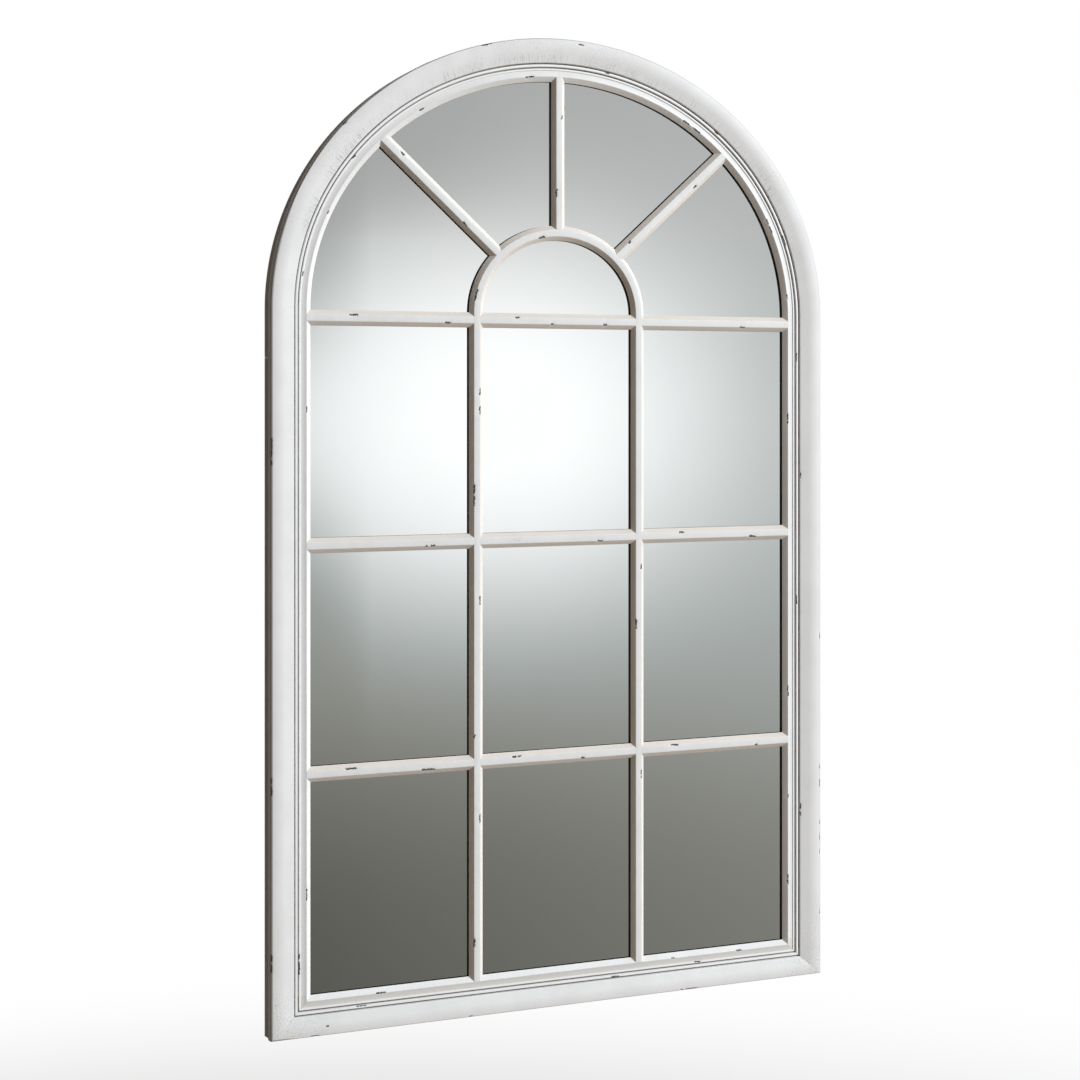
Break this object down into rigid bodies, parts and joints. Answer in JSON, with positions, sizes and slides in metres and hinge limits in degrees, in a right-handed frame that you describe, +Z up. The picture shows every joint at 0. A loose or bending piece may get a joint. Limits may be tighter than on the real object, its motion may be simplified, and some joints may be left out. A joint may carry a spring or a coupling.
{
  "type": "arched window frame mirror",
  "caption": "Arched window frame mirror: a distressed white timber frame whose glazing bars, inner arch and sunburst spokes lie over one mirror sheet, hung on ring hangers.",
  "frame": {"origin": "at the height of the two ring hangers' pivots, midway between them, on the back plane of the frame", "axes": "+X to the right of someone facing the mirror, +Z up, and the mirror faces -Y, so the wall is on the +Y side"},
  "size_m": [0.8, 0.0353, 1.26],
  "materials": {
    "white_paint": "distressed white paint over dark timber",
    "bar_paint": "white paint over dark timber",
    "stained_timber": "dark stain",
    "silvered_glass": "polished",
    "brown_board": "raw hardboard",
    "zinc_steel": "zinc plated",
    "grey_felt": "felt"
  },
  "bodies": {
    "frame": {"back_arch_crown": "stained_timber", "back_arch_left": "stained_timber", "back_arch_right": "stained_timber", "back_rail_bottom": "stained_timber", "back_stile_left": "stained_timber", "back_stile_right": "stained_timber", "backing_board": "brown_board", "clip_arch_crown": "zinc_steel", "clip_arch_left": "zinc_steel", "clip_arch_right": "zinc_steel", "clip_foot_left": "zinc_steel", "clip_foot_right": "zinc_steel", "clip_lower_left": "zinc_steel", "clip_lower_right": "zinc_steel", "clip_screw_arch_crown": "zinc_steel", "clip_screw_arch_left": "zinc_steel", "clip_screw_arch_right": "zinc_steel", "clip_screw_foot_left": "zinc_steel", "clip_screw_foot_right": "zinc_steel", "clip_screw_lower_left": "zinc_steel", "clip_screw_lower_right": "zinc_steel", "clip_screw_upper_left": "zinc_steel", "clip_screw_upper_right": "zinc_steel", "clip_upper_left": "zinc_steel", "clip_upper_right": "zinc_steel", "face_arch_left": "white_paint", "face_arch_right": "white_paint", "face_rail_bottom": "white_paint", "face_stile_left": "white_paint", "face_stile_right": "white_paint", "hanger_screw_lower_left": "zinc_steel", "hanger_screw_lower_right": "zinc_steel", "hanger_screw_upper_left": "zinc_steel", "hanger_screw_upper_right": "zinc_steel", "hanger_strap_left": "zinc_steel", "hanger_strap_right": "zinc_steel", "inner_arch_bar": "bar_paint", "lower_bar_centre": "bar_paint", "lower_bar_left": "bar_paint", "lower_bar_right": "bar_paint", "mirror_glass": "silvered_glass", "spoke_centre": "bar_paint", "spoke_left": "bar_paint", "spoke_right": "bar_paint", "springline_bar_centre": "bar_paint", "springline_bar_left": "bar_paint", "springline_bar_right": "bar_paint", "upper_bar_centre": "bar_paint", "upper_bar_left": "bar_paint", "upper_bar_right": "bar_paint", "upright_bar_left": "bar_paint", "upright_bar_right": "bar_paint", "wall_pad_left": "grey_felt", "wall_pad_right": "grey_felt"},
    "ring_left": {"hanger_ring_left": "zinc_steel"},
    "ring_right": {"hanger_ring_right": "zinc_steel"}
  },
  "joints": [
    {"name": "ring_left_swing", "type": "hinge", "parent": "frame", "child": "ring_left", "pos_m": [-0.37665, 0.0035, 0], "axis": [1, 0, 0], "range_deg": [0, 180]},
    {"name": "ring_right_swing", "type": "hinge", "parent": "frame", "child": "ring_right", "pos_m": [0.37665, 0.0035, 0], "axis": [1, 0, 0], "range_deg": [0, 180]}
  ]
}
